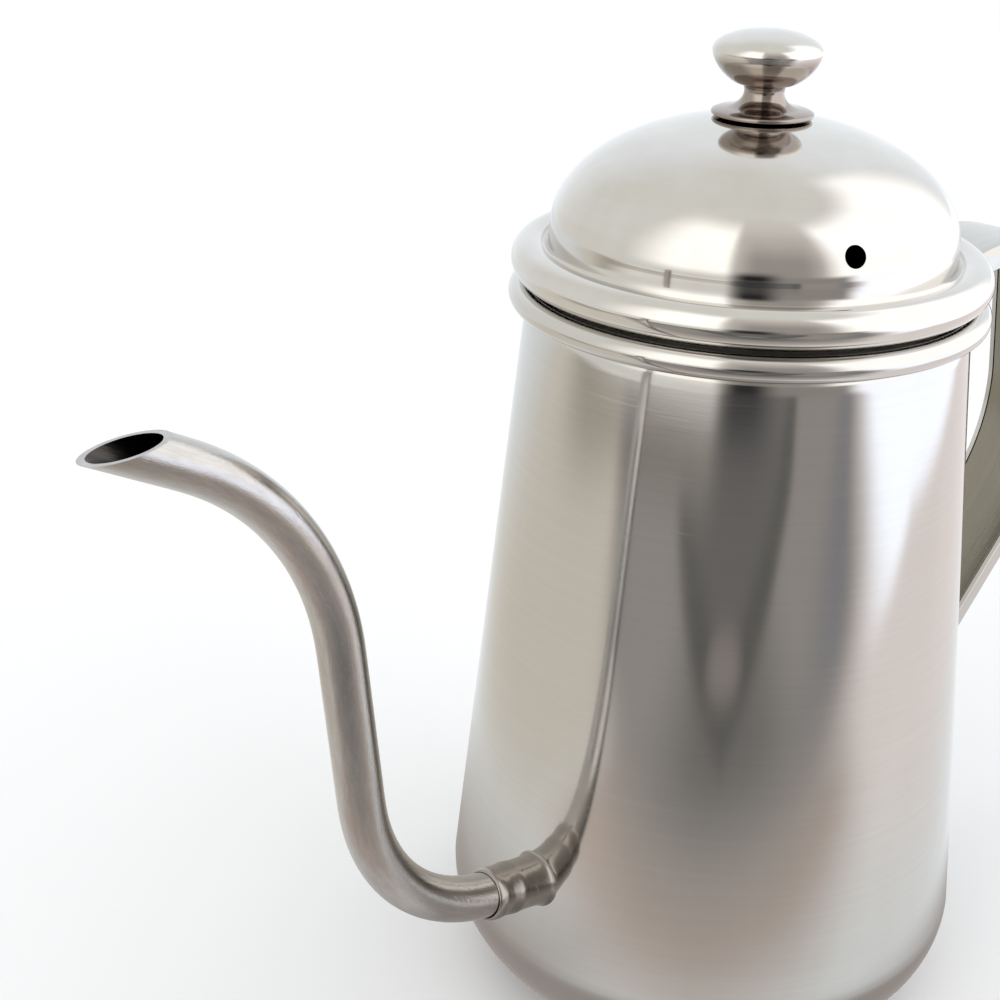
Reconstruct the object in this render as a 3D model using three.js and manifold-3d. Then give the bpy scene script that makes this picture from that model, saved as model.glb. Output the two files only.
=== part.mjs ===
// Gooseneck drip kettle in stainless steel: a tapered body with a rolled rim, a bent slender
// spout cut level at its tip, a hollow ear handle, and a domed lift-off lid with a turned knob.
// Millimetres, +Z up. The origin is the centre of the flat base, on the surface it stands on.
// The spout points along +X and the handle along -X.
import * as THREE from 'three';
import { mergeVertices } from 'three/addons/utils/BufferGeometryUtils.js';
import Module from 'manifold-3d';

const wasm = await Module();
wasm.setup();

// ---- Driving dimensions ----
const ROUND = 40;               // facets round the large turned shapes
const SMALL_ROUND = 24;         // facets round the knob, screw and washers
const GAP = 0.3;                // clearance kept between separate pieces
const SHEET = 0.8;              // sheet thickness of body and lid

const BODY_FOOT_R = 47.56;      // outer radius where the cone starts
const BODY_CORNER_R = 16.8;     // rounded bottom corner, which also sets the cone's lower height
const BODY_TOP_R = 37.2;        // outer radius under the rim
const RIM_Z = 130.1;            // height of the rolled rim's centre
const RIM_ROLL_R = 2.1;         // outer radius of the roll's section
const RIM_OUT_R = 40.4;         // outer radius of the rolled rim
const RIM_ROLL_END = -100;      // degrees round the roll's section where the sheet ends
const NECK_DROP = 1;            // height between the roll's underside and the cone's top


const SPOUT_ROOT = [46.0, 32.9];  // where the spout's axis leaves the wall: [radius, height]
const SPOUT_RISE = 12.3;        // degrees above level at the root
const SPOUT_STEM_RUN = 11.4;
const SPOUT_LOW_BEND_R = 36;
const SPOUT_NECK_SLOPE = 82.8;  // degrees above level along the neck
const SPOUT_NECK_RUN = 27.8;
const SPOUT_TOP_BEND_R = 47.4;
const SPOUT_TIP_SLOPE = 27.8;
const SPOUT_TIP_RUN = 8.9;      // to the middle of the cut
const SPOUT_ROOT_D = 7.8;
const SPOUT_TIP_D = 7.0;
const SPOUT_WALL = 0.7;
const SPOUT_TAPER = 1.6;        // the tube thins fast near the body, then slowly
const SPOUT_TAIL = 1.8;         // tube length that passes through the wall
const SPOUT_CUT_Z = 133.6;      // level cut at the tip
const SPOUT_OVERRUN = 12;       // extra tube above the cut, before cutting
const SPOUT_REACH = 120;        // about where the tip is, along X
const SPOUT_STEPS = 40;
const SPOUT_SIDES = 16;
const TAPER_SAMPLES = 400;
const INLET_DRILL = 16;
const TRIM_BLOCK = 80;          // side of the blocks that trim ends

// The sleeve round the spout's root: [distance out from the wall, thickness].
const SLEEVE_BURIED = [-3, 1.9];
const SLEEVE = [
  [0.4, 1.3], [1.7, 0.8], [3.5, 0.4], [4.8, 0.5], [6.0, 0.62], [7.4, 0.5],
  [9.2, 0.4], [10.7, 0.42], [11.8, 0.52], [12.7, 0.4], [13.0, 0.2],
];

const HANDLE_START = [36.5, 123.4];  // on the grip's outer face: [radius, height]
const HANDLE_RISE = 11;         // degrees above level at the top end
const HANDLE_TOP_RUN = 24.2;
const HANDLE_CROWN_R = 59;
const HANDLE_SHOULDER_SLOPE = -15;
const HANDLE_SHOULDER_RUN = 6.2;
const HANDLE_CORNER_R = 13;
const HANDLE_GRIP_SLOPE = -80;
const HANDLE_GRIP_RUN = 21.6;
const HANDLE_HEEL_R = 32.5;
const HANDLE_TAIL_SLOPE = -138;
const HANDLE_TAIL_RUN = 30;
const HANDLE_TAIL_R = 40;
const HANDLE_END_SLOPE = -175;  // almost level, back towards the body
const HANDLE_END_RUN = 6;
const HANDLE_WIDTH = 18;
const HANDLE_DEPTH = 4.5;
const HANDLE_SHEET = 1.0;
const HANDLE_EDGE_R = 1.6;      // rounding along the grip's outer edges
const HANDLE_STEPS = 54;

const SADDLE_THICK = 1.0;
const SADDLE_WIDTH = 22;
const SADDLE_CORNER_R = 4;
const UPPER_SADDLE_Z = [111.5, 127.2];
const LOWER_SADDLE_Z = [25.5, 45.5];

const DOME_R = 33.8;            // outer radius at the foot of the lid's dome
const DOME_FOOT_Z = 141.4;
const DOME_RISE = 19.2;
const SKIRT = [[0.15, -1.8], [0.45, -2.8]];   // below the dome's foot: [outwards, upwards] from it
const VALLEY = [34.7, 138.1];   // groove between dome and flange: [radius, height]
const FLANGE_R = 3.3;           // outer radius of the flange's rolled section
const FLANGE_OUT_R = 40.1;
const FLANGE_Z = 135.9;         // height of the rolled section's centre
const FLANGE_ROLL = [120, -95]; // degrees round the roll's section where it starts and ends
const DOME_STEPS = 10;
const VENT_D = 3.6;
const VENT_RISE = 4.3;          // height of the vent above the dome's foot
const VENT_TURN = 65.3;         // degrees round from the spout
const VENT_DRILL = 8;

const COLLAR_OUT_R = 35.6;      // the lid's skirt, which plugs into the mouth
const COLLAR_LOW_Z = 118;
const COLLAR_FLANGE_Z = 134.2;
const COLLAR_FLANGE_R = 37.9;

const KNOB_R = 8.9;
const KNOB_Z = 170.6;           // height of the cap's widest line
const KNOB_CROWN = 3.5;
const KNOB_FOOT_Z = 160.4;
// Foot and neck: [radius, height above the foot].
const KNOB_STEM = [[8.2, 0], [8.4, 0.5], [7.9, 1.0], [4.85, 1.6], [3.65, 2.5], [3.25, 3.5]];
// Underside of the cap: [radius, depth below its widest line].
const KNOB_CHEEK = [[4.15, 5.4], [6.6, 4.0], [8.2, 1.9]];
const SCREW_R = 1.8;
const SCREW_TOP_Z = 167;
const SCREW_HEAD_R = 3.6;
const SCREW_HEAD_Z = [154.6, 157.0];
const SCREW_EDGE = 0.6;         // chamfer at the screw's tip and the head's crown
const SCREW_HEAD_SIDE = 1.1;    // height of the head's crown
const SCREW_SLOT = [4.6, 0.9, 1.1];   // length, width and depth of the cross recess
const SPRING_WASHER_Z = [157.3, 158.1];
const SPRING_SLIT = 0.8;
const SPRING_SLIT_TURN = 35;    // degrees round from the spout
const FLAT_WASHER_Z = [158.4, 159.2];
const FLAT_WASHER_R = 5;

// ---- Materials ----
const steel = (color, roughness) => new THREE.MeshStandardMaterial({ color, roughness, metalness: 1 });
const satinSteel = () => steel(0xb9b6b1, 0.34);
const polishedSteel = () => steel(0xc9c7c3, 0.12);
const rawSteel = () => steel(0x9c9a97, 0.5);

// ---- Solids ----
// A geometry with shared corners, no collapsed triangles and its faces pointing out.
function tidy(geometry) {
  const bare = geometry.clone();
  bare.deleteAttribute('normal');
  bare.deleteAttribute('uv');
  const merged = mergeVertices(bare, 1e-4);
  const position = merged.attributes.position;
  const corner = (i) => new THREE.Vector3().fromBufferAttribute(position, i);
  const triangles = [];
  let volume = 0;
  for (let i = 0; i < merged.index.count; i += 3) {
    const [a, b, c] = [0, 1, 2].map((k) => merged.index.getX(i + k));
    if (a === b || b === c || c === a) continue;
    triangles.push([a, b, c]);
    volume += corner(a).dot(corner(b).cross(corner(c)));
  }
  const facing = volume < 0 ? triangles.map(([a, b, c]) => [a, c, b]) : triangles;
  merged.setIndex(facing.flat());
  return merged;
}

function toSolid(geometry) {
  const clean = tidy(geometry);
  const vertProperties = new Float32Array(clean.attributes.position.array);
  const triVerts = new Uint32Array(clean.index.array);
  return new wasm.Manifold(new wasm.Mesh({ numProp: 3, vertProperties, triVerts }));
}

function toGeometry(solid) {
  const mesh = solid.getMesh();
  const geometry = new THREE.BufferGeometry();
  geometry.setAttribute('position', new THREE.BufferAttribute(new Float32Array(mesh.vertProperties), 3));
  geometry.setIndex(new THREE.BufferAttribute(new Uint32Array(mesh.triVerts), 1));
  return geometry;
}

const cut = (geometry, ...tools) =>
  toGeometry(tools.reduce((solid, tool) => solid.subtract(toSolid(tool)), toSolid(geometry)));
const common = (a, b) => toGeometry(toSolid(a).intersect(toSolid(b)));

// A closed [radius, height] profile turned about Z.
function turned(profile, facets = ROUND) {
  const points = profile.map(([r, z]) => new THREE.Vector2(r, z));
  const onAxis = profile[0][0] === 0 && profile.at(-1)[0] === 0;
  if (!onAxis) points.push(points[0].clone());
  const geometry = new THREE.LatheGeometry(points, facets);
  geometry.rotateX(Math.PI / 2);
  return tidy(geometry);
}

// Points on a circular arc in the [radius, height] plane, angles in degrees from +radius.
function arc([r, z], radius, from, to, steps) {
  const at = (k) => THREE.MathUtils.degToRad(from + ((to - from) * k) / steps);
  const point = (angle) => [r + radius * Math.cos(angle), z + radius * Math.sin(angle)];
  return Array.from({ length: steps + 1 }, (_, k) => point(at(k)));
}

// A quarter ellipse from its foot up to its top on the axis.
function dome(radius, rise, footZ, steps) {
  return Array.from({ length: steps + 1 }, (_, k) => {
    const t = (Math.PI / 2) * (k / steps);
    return [k === steps ? 0 : radius * Math.cos(t), footZ + rise * Math.sin(t)];
  });
}

// A rod of the given radius along a direction, used as a drill.
function drill(radius, length, centre, direction, facets = SMALL_ROUND) {
  const geometry = new THREE.CylinderGeometry(radius, radius, length, facets);
  const turn = new THREE.Quaternion().setFromUnitVectors(new THREE.Vector3(0, 1, 0), direction);
  geometry.applyQuaternion(turn);
  geometry.translate(centre.x, centre.y, centre.z);
  return geometry;
}

// A path of straight runs and circular bends in the XZ plane. side is +1 or -1 along X.
class BentPath extends THREE.Curve {
  constructor([radius, height], heading, side, legs) {
    super();
    this.side = side;
    this.legs = [];
    let at = new THREE.Vector2(radius, height);
    let angle = THREE.MathUtils.degToRad(heading);
    for (const { run, bend, to } of legs) {
      const end = bend ? THREE.MathUtils.degToRad(to) : angle;
      const length = bend ? bend * Math.abs(end - angle) : run;
      const leg = { start: at.clone(), angle, end, length, bend };
      this.legs.push(leg);
      at = this.along(leg, length);
      angle = end;
    }
    this.total = this.legs.reduce((sum, leg) => sum + leg.length, 0);
  }

  along({ start, angle, end, bend }, distance) {
    if (!bend) return new THREE.Vector2(Math.cos(angle), Math.sin(angle)).multiplyScalar(distance).add(start);
    const sense = Math.sign(end - angle);
    const now = angle + (sense * distance) / bend;
    const across = sense * bend * (Math.sin(now) - Math.sin(angle));
    const up = sense * bend * (Math.cos(angle) - Math.cos(now));
    return new THREE.Vector2(start.x + across, start.y + up);
  }

  getPoint(t, target = new THREE.Vector3()) {
    let left = t * this.total;
    let index = 0;
    while (index < this.legs.length - 1 && left > this.legs[index].length) {
      left -= this.legs[index].length;
      index += 1;
    }
    const { x, y } = this.along(this.legs[index], left);
    return target.set(this.side * x, 0, y);
  }
}

// ---- Body ----
const wallRadius = (z) =>
  BODY_FOOT_R - ((BODY_FOOT_R - BODY_TOP_R) * (z - BODY_CORNER_R)) / (RIM_Z - BODY_CORNER_R);
const CORNER_CENTRE = [BODY_FOOT_R - BODY_CORNER_R, BODY_CORNER_R];
const RIM_CENTRE = [RIM_OUT_R - RIM_ROLL_R, RIM_Z];
const WALL_TOP_Z = RIM_Z - RIM_ROLL_R - NECK_DROP;

const spoutRise = THREE.MathUtils.degToRad(SPOUT_RISE);
const spoutAxis = new THREE.Vector3(Math.cos(spoutRise), 0, Math.sin(spoutRise));
const spoutRoot = new THREE.Vector3(SPOUT_ROOT[0], 0, SPOUT_ROOT[1]);

// The open cone, with its hollow rolled rim and the spout inlet.
function bodyShell() {
  const footZ = BODY_CORNER_R + GAP;
  const profile = [
    [wallRadius(footZ), footZ],
    [wallRadius(WALL_TOP_Z), WALL_TOP_Z],
    ...arc(RIM_CENTRE, RIM_ROLL_R - SHEET, 180, RIM_ROLL_END, 7),
    ...arc(RIM_CENTRE, RIM_ROLL_R, RIM_ROLL_END, 180, 9),
    [wallRadius(WALL_TOP_Z) - SHEET, WALL_TOP_Z],
    [wallRadius(footZ) - SHEET, footZ],
  ];
  return cut(turned(profile), drill(SPOUT_ROOT_D / 2 + GAP, INLET_DRILL, spoutRoot, spoutAxis));
}

// The flat bottom and the rounded corner, pressed in one piece and welded to the cone's foot.
function basePan() {
  return turned([
    [0, 0],
    ...arc(CORNER_CENTRE, BODY_CORNER_R, -90, 0, 6),
    ...arc(CORNER_CENTRE, BODY_CORNER_R - SHEET, 0, -90, 5),
    [0, SHEET],
  ]);
}

// The space taken by the body's outside, grown by a clearance, to trim what meets the wall.
function wallSpace(clearance) {
  const [low, high] = [BODY_CORNER_R, RIM_Z - RIM_ROLL_R];
  return turned([
    [0, low],
    [wallRadius(low) + clearance, low],
    [wallRadius(high) + clearance, high],
    [0, high],
  ]);
}

// ---- Spout ----
function spoutTube() {
  const tail = [spoutRoot.x - SPOUT_TAIL * spoutAxis.x, spoutRoot.z - SPOUT_TAIL * spoutAxis.z];
  const path = new BentPath(tail, SPOUT_RISE, 1, [
    { run: SPOUT_TAIL + SPOUT_STEM_RUN },
    { bend: SPOUT_LOW_BEND_R, to: SPOUT_NECK_SLOPE },
    { run: SPOUT_NECK_RUN },
    { bend: SPOUT_TOP_BEND_R, to: SPOUT_TIP_SLOPE },
    { run: SPOUT_TIP_RUN + SPOUT_OVERRUN },
  ]);
  const ring = new THREE.Shape().absarc(0, 0, SPOUT_ROOT_D / 2, 0, 2 * Math.PI);
  ring.holes.push(new THREE.Path().absarc(0, 0, SPOUT_ROOT_D / 2 - SPOUT_WALL, 0, 2 * Math.PI, true));
  const options = { steps: SPOUT_STEPS, curveSegments: SPOUT_SIDES / 2, extrudePath: path };
  const tube = taper(new THREE.ExtrudeGeometry(ring, options), path, SPOUT_TIP_D / SPOUT_ROOT_D);
  const above = new THREE.BoxGeometry(TRIM_BLOCK, TRIM_BLOCK, TRIM_BLOCK);
  above.translate(SPOUT_REACH, 0, SPOUT_CUT_Z + TRIM_BLOCK / 2);
  return cut(tube, above);
}

// Draws a tube's skin in towards its path, from full size at the start to the given share at the end.
function taper(geometry, path, share) {
  const samples = path.getPoints(TAPER_SAMPLES);
  const position = geometry.attributes.position;
  const point = new THREE.Vector3();
  for (let i = 0; i < position.count; i += 1) {
    point.fromBufferAttribute(position, i);
    let nearest = 0;
    samples.forEach((sample, k) => {
      if (sample.distanceToSquared(point) < samples[nearest].distanceToSquared(point)) nearest = k;
    });
    const left = 1 - nearest / TAPER_SAMPLES;
    point.lerp(samples[nearest], (1 - share) * (1 - left ** SPOUT_TAPER));
    position.setXYZ(i, point.x, point.y, point.z);
  }
  return geometry;
}

// The sleeve that covers the joint: flared onto the wall, with two soft swells and a waist between.
function spoutCollar() {
  const bore = SPOUT_ROOT_D / 2 + GAP;
  const skin = [SLEEVE_BURIED, ...SLEEVE].map(([along, thick]) => [bore + thick, along]);
  const sleeve = turned([[bore, SLEEVE_BURIED[0]], ...skin, [bore, SLEEVE.at(-1)[0]]], SMALL_ROUND);
  const turn = new THREE.Quaternion().setFromUnitVectors(new THREE.Vector3(0, 0, 1), spoutAxis);
  sleeve.applyQuaternion(turn);
  sleeve.translate(spoutRoot.x, spoutRoot.y, spoutRoot.z);
  return cut(sleeve, wallSpace(GAP));
}

// ---- Handle ----
const handlePath = () =>
  new BentPath(HANDLE_START, HANDLE_RISE, -1, [
    { run: HANDLE_TOP_RUN },
    { bend: HANDLE_CROWN_R, to: HANDLE_SHOULDER_SLOPE },
    { run: HANDLE_SHOULDER_RUN },
    { bend: HANDLE_CORNER_R, to: HANDLE_GRIP_SLOPE },
    { run: HANDLE_GRIP_RUN },
    { bend: HANDLE_HEEL_R, to: HANDLE_TAIL_SLOPE },
    { run: HANDLE_TAIL_RUN },
    { bend: HANDLE_TAIL_R, to: HANDLE_END_SLOPE },
    { run: HANDLE_END_RUN },
  ]);

// Sweeps a section round the handle and trims both ends clear of the saddles.
function handleSweep(shape) {
  const options = { steps: HANDLE_STEPS, curveSegments: 2, extrudePath: handlePath() };
  return cut(new THREE.ExtrudeGeometry(shape, options), wallSpace(2 * GAP + SADDLE_THICK));
}

// The outer half: a channel with rounded outer edges, open towards the fingers.
function handleOuter() {
  const half = HANDLE_WIDTH / 2;
  const round = HANDLE_EDGE_R;
  const shape = new THREE.Shape();
  shape.moveTo(-half, -HANDLE_DEPTH);
  shape.lineTo(-half, -round);
  shape.absarc(-half + round, -round, round, Math.PI, Math.PI / 2, true);
  shape.lineTo(half - round, 0);
  shape.absarc(half - round, -round, round, Math.PI / 2, 0, true);
  shape.lineTo(half, -HANDLE_DEPTH);
  shape.lineTo(half - HANDLE_SHEET, -HANDLE_DEPTH);
  shape.lineTo(half - HANDLE_SHEET, -round - HANDLE_SHEET / 2);
  shape.lineTo(half - round - HANDLE_SHEET / 2, -HANDLE_SHEET);
  shape.lineTo(-half + round + HANDLE_SHEET / 2, -HANDLE_SHEET);
  shape.lineTo(-half + HANDLE_SHEET, -round - HANDLE_SHEET / 2);
  shape.lineTo(-half + HANDLE_SHEET, -HANDLE_DEPTH);
  shape.closePath();
  return handleSweep(shape);
}

// The inner half: a flat strip that closes the channel between its two edges.
function handleInner() {
  const half = HANDLE_WIDTH / 2 - HANDLE_SHEET - GAP;
  const shape = new THREE.Shape();
  shape.moveTo(-half, -HANDLE_DEPTH);
  shape.lineTo(half, -HANDLE_DEPTH);
  shape.lineTo(half, HANDLE_SHEET - HANDLE_DEPTH);
  shape.lineTo(-half, HANDLE_SHEET - HANDLE_DEPTH);
  shape.closePath();
  return handleSweep(shape);
}

// A rounded plate bent to the wall, which an end of the handle is welded to.
function saddle([low, high]) {
  const hug = (z, lift) => [wallRadius(z) + lift, z];
  const sleeve = turned([
    hug(low, GAP),
    hug(low, GAP + SADDLE_THICK),
    hug(high, GAP + SADDLE_THICK),
    hug(high, GAP),
  ]);
  const [x, y] = [(high - low) / 2, SADDLE_WIDTH / 2];
  const r = SADDLE_CORNER_R;
  const plate = new THREE.Shape();
  plate.absarc(x - r, y - r, r, 0, Math.PI / 2);
  plate.absarc(r - x, y - r, r, Math.PI / 2, Math.PI);
  plate.absarc(r - x, r - y, r, Math.PI, 1.5 * Math.PI);
  plate.absarc(x - r, r - y, r, 1.5 * Math.PI, 2 * Math.PI);
  const solid = { depth: TRIM_BLOCK, bevelEnabled: false, curveSegments: 3 };
  const block = new THREE.ExtrudeGeometry(plate, solid);
  block.rotateY(-Math.PI / 2);
  block.translate(0, 0, (low + high) / 2);
  return common(sleeve, block);
}

// ---- Lid ----
const FLANGE_CENTRE = [FLANGE_OUT_R - FLANGE_R, FLANGE_Z];
const STUD_HOLE_R = SCREW_R + GAP;

// The dome from its centre hole out to its foot. inset is 0 outside and the sheet's thickness inside.
function domeLine(inset) {
  const radius = DOME_R - inset;
  const steep = Math.acos(STUD_HOLE_R / radius);
  return Array.from({ length: DOME_STEPS + 1 }, (_, k) => {
    const t = steep * (1 - k / DOME_STEPS);
    return [radius * Math.cos(t), DOME_FOOT_Z + (DOME_RISE - inset) * Math.sin(t)];
  });
}

// Dome, groove and rolled flange in one sheet, with the vent and the knob screw's hole.
function lidShell() {
  const [start, end] = FLANGE_ROLL;
  const skirt = SKIRT.map(([out, up]) => [DOME_R + out, DOME_FOOT_Z + up]);
  const shell = turned([
    ...domeLine(0),
    ...skirt,
    VALLEY,
    ...arc(FLANGE_CENTRE, FLANGE_R, start, end, 8),
    ...arc(FLANGE_CENTRE, FLANGE_R - SHEET, end, start, 7),
    [VALLEY[0] + 0.1, VALLEY[1] - SHEET],
    [skirt[0][0], VALLEY[1] - SHEET / 2],
    [skirt[0][0] - SHEET, skirt[0][1]],
    ...domeLine(SHEET).reverse(),
  ]);
  const turn = THREE.MathUtils.degToRad(VENT_TURN);
  const ventR = DOME_R * Math.sqrt(1 - (VENT_RISE / DOME_RISE) ** 2);
  const outward = new THREE.Vector3(Math.cos(turn), Math.sin(turn), 0);
  const vent = outward.clone().multiplyScalar(ventR).setZ(DOME_FOOT_Z + VENT_RISE);
  const normal = outward.multiplyScalar(ventR / DOME_R ** 2).setZ(VENT_RISE / DOME_RISE ** 2).normalize();
  return cut(shell, drill(VENT_D / 2, VENT_DRILL, vent, normal, 16));
}

// The skirt that plugs into the mouth, with the small flange that the lid's roll is crimped over.
function lidCollar() {
  return turned([
    [COLLAR_OUT_R - SHEET, COLLAR_LOW_Z],
    [COLLAR_OUT_R - SHEET / 2, COLLAR_LOW_Z],
    [COLLAR_OUT_R, COLLAR_LOW_Z + SHEET],
    [COLLAR_OUT_R, COLLAR_FLANGE_Z],
    [COLLAR_FLANGE_R, COLLAR_FLANGE_Z],
    [COLLAR_FLANGE_R, COLLAR_FLANGE_Z + SHEET],
    [COLLAR_OUT_R - SHEET, COLLAR_FLANGE_Z + SHEET],
  ]);
}

// ---- Knob and its screw ----
const KNOB_SEAT_Z = DOME_FOOT_Z + DOME_RISE + GAP;

// Mushroom cap, slender neck and flared foot, with a blind hole for the screw.
function knob() {
  return turned([
    [0, SCREW_TOP_Z + GAP],
    [STUD_HOLE_R, SCREW_TOP_Z + GAP],
    [STUD_HOLE_R, KNOB_SEAT_Z],
    ...KNOB_STEM.map(([radius, up]) => [radius, KNOB_FOOT_Z + up]),
    ...KNOB_CHEEK.map(([radius, down]) => [radius, KNOB_Z - down]),
    ...dome(KNOB_R, KNOB_CROWN, KNOB_Z, 6),
  ], SMALL_ROUND);
}

// A pan-head screw, head down, with a cross recess.
function knobScrew() {
  const [low, high] = SCREW_HEAD_Z;
  const blank = turned([
    [0, low],
    [SCREW_HEAD_R - SCREW_HEAD_SIDE - SCREW_EDGE / 2, low],
    [SCREW_HEAD_R - SCREW_EDGE / 2, low + SCREW_HEAD_SIDE / 2],
    [SCREW_HEAD_R, low + SCREW_HEAD_SIDE],
    [SCREW_HEAD_R, high],
    [SCREW_R, high],
    [SCREW_R, SCREW_TOP_Z - SCREW_EDGE],
    [SCREW_R - SCREW_EDGE, SCREW_TOP_Z],
    [0, SCREW_TOP_Z],
  ], SMALL_ROUND);
  const slot = new THREE.BoxGeometry(SCREW_SLOT[0], SCREW_SLOT[1], 2 * SCREW_SLOT[2]);
  slot.translate(0, 0, low);
  return cut(blank, slot, slot.clone().rotateZ(Math.PI / 2));
}

const washerRing = (outR, [low, high]) =>
  turned([[STUD_HOLE_R, low], [outR, low], [outR, high], [STUD_HOLE_R, high]], SMALL_ROUND);

// A split ring, cut through on one side.
function springWasher() {
  const [low, high] = SPRING_WASHER_Z;
  const slit = new THREE.BoxGeometry(SCREW_HEAD_R, SPRING_SLIT, 3 * (high - low));
  slit.translate(SCREW_HEAD_R, 0, (low + high) / 2);
  slit.rotateZ(THREE.MathUtils.degToRad(SPRING_SLIT_TURN));
  return cut(washerRing(SCREW_HEAD_R, SPRING_WASHER_Z), slit);
}

// ---- Assembly ----
function part(name, geometry, material) {
  const mesh = new THREE.Mesh(geometry, material);
  mesh.name = name;
  return mesh;
}

const bodyGroup = new THREE.Group();
bodyGroup.add(
  part('body_shell', bodyShell(), satinSteel()),
  part('base_pan', basePan(), satinSteel()),
  part('spout_tube', spoutTube(), satinSteel()),
  part('spout_collar', spoutCollar(), satinSteel()),
  part('handle_outer', handleOuter(), satinSteel()),
  part('handle_inner', handleInner(), satinSteel()),
  part('handle_upper_saddle', saddle(UPPER_SADDLE_Z), satinSteel()),
  part('handle_lower_saddle', saddle(LOWER_SADDLE_Z), satinSteel()),
);

const lidGroup = new THREE.Group();
lidGroup.add(
  part('lid_shell', lidShell(), polishedSteel()),
  part('lid_collar', lidCollar(), rawSteel()),
  part('knob', knob(), polishedSteel()),
  part('knob_screw', knobScrew(), rawSteel()),
  part('flat_washer', washerRing(FLAT_WASHER_R, FLAT_WASHER_Z), rawSteel()),
  part('spring_washer', springWasher(), rawSteel()),
);

const kettle = new THREE.Group();
kettle.add(bodyGroup, lidGroup);

export default kettle;
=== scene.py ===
"""Gooseneck drip kettle in stainless steel: the looks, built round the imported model."""

import math

import bmesh
import bpy
from mathutils import Matrix, Vector


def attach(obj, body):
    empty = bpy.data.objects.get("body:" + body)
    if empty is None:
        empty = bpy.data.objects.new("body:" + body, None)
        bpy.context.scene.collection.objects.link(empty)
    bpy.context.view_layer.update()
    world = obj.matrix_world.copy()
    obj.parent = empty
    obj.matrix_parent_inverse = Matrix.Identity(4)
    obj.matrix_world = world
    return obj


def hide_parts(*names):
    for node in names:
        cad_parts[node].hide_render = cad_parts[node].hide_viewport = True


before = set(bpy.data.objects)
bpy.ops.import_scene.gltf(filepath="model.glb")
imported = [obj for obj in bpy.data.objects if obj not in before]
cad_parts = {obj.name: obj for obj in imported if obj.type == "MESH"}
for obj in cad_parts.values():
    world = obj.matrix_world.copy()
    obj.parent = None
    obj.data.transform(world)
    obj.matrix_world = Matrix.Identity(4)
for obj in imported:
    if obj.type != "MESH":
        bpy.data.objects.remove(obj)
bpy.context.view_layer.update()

MM = 0.001

# ---- Sizes, in millimetres ----
# They are the solid model's, but for the tilt of the tip's cut and the collar's swell.
SHEET = 0.8
BODY_FOOT_R, BODY_CORNER_R, BODY_TOP_R = 47.56, 16.8, 37.2
RIM_Z, RIM_ROLL_R, RIM_OUT_R = 130.1, 2.1, 40.4
# A leg of a bent path is (straight run, 0, 0) or (0, bend radius, heading at the bend's end in degrees).
SPOUT_ROOT, SPOUT_RISE, SPOUT_EASE = (46.0, 32.9), 12.3, 6.0
SPOUT_TAIL, SPOUT_SPARE = 1.8, 12       # inside the body, and past the tip before the tip is cut
SPOUT_LEGS = [(SPOUT_TAIL + 11.4, 0, 0), (0, 36.0, 82.8), (27.8, 0, 0), (0, 47.4, 27.8),
              (8.9 + SPOUT_SPARE, 0, 0)]
SPOUT_ROOT_D, SPOUT_TIP_D, SPOUT_WALL, SPOUT_TAPER = 7.8, 7.0, 0.7, 1.6
SPOUT_CUT_Z, SPOUT_TIP_X, SPOUT_CUT_SLOPE = 133.6, 128.5, 0.08      # the cut rises back from the tip
COLLAR_GAP, COLLAR_LENGTH, COLLAR_BLEND = 0.08, 13.0, 5.0
# The collar's wall over its bore, as (length from the body, thickness).
COLLAR_SWELL = [(0.0, 1.0), (0.5, 0.74), (1.2, 0.56), (2.4, 0.44), (4.4, 0.4), (6.0, 0.46), (7.2, 0.56),
                (8.4, 0.46), (9.6, 0.4), (10.6, 0.46), (11.4, 0.54), (12.2, 0.5), (12.7, 0.36),
                (12.95, 0.15)]
HANDLE_START, HANDLE_RISE, HANDLE_EASE = (36.5, 123.4), 11, 4.0
HANDLE_LEGS = [(24.2, 0, 0), (0, 59, -15), (6.2, 0, 0), (0, 13, -80), (21.6, 0, 0), (0, 32.5, -138),
               (30, 0, 0), (0, 40, -175), (6, 0, 0)]
HANDLE_WIDTH, HANDLE_DEPTH, HANDLE_SHEET, HANDLE_EDGE_R = 18.0, 4.5, 1.0, 1.6
HANDLE_OFF_WALL = 1.75                  # where the strap's ends stop, on the saddles
UPPER_SADDLE_Z, LOWER_SADDLE_Z = (111.5, 127.2), (25.5, 45.5)
SADDLE_WIDTH, SADDLE_THICK, SADDLE_CORNER_R = 22.0, 1.0, 4.0
DOME_R, DOME_FOOT_Z, DOME_RISE = 33.8, 141.4, 19.2
VALLEY = (34.7, 138.1)
FLANGE_R, FLANGE_OUT_R, FLANGE_Z = 3.3, 40.1, 135.9
VENT_D, VENT_RISE, VENT_TURN = 3.6, 4.3, 65.3
LID_COLLAR_R, LID_COLLAR_Z, LID_COLLAR_FLANGE_R = 35.6, (118.0, 134.2), 37.9
KNOB_R, KNOB_Z, KNOB_CROWN, KNOB_FOOT_Z = 8.9, 170.6, 3.5, 160.4
STUD_HOLE_R, KNOB_BORE_Z = 2.1, 167.3
SCREW_HEAD_R, SCREW_HEAD_Z = 3.6, (154.6, 157.0)
THREAD_R, THREAD_ROOT_R, THREAD_PITCH, THREAD_TOP_Z = 1.8, 1.55, 0.7, 167.0
SPRING_WASHER_R, SPRING_WASHER_Z = 3.6, (157.3, 158.1)
FLAT_WASHER_R, FLAT_WASHER_Z = 5.0, (158.4, 159.2)

# ---- How finely the meshes are cut ----
SHARP = 32.0                            # edges sharper than this stay crisp, in degrees
BODY_SIDES, LID_SIDES, LID_SKIRT_SIDES, KNOB_SIDES, SCREW_SIDES, ROD_SIDES = 288, 288, 224, 160, 96, 48
SPOUT_SIDES, SPOUT_STEPS, COLLAR_SIDES, STRAP_STEPS = 72, 260, 96, 220


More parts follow.
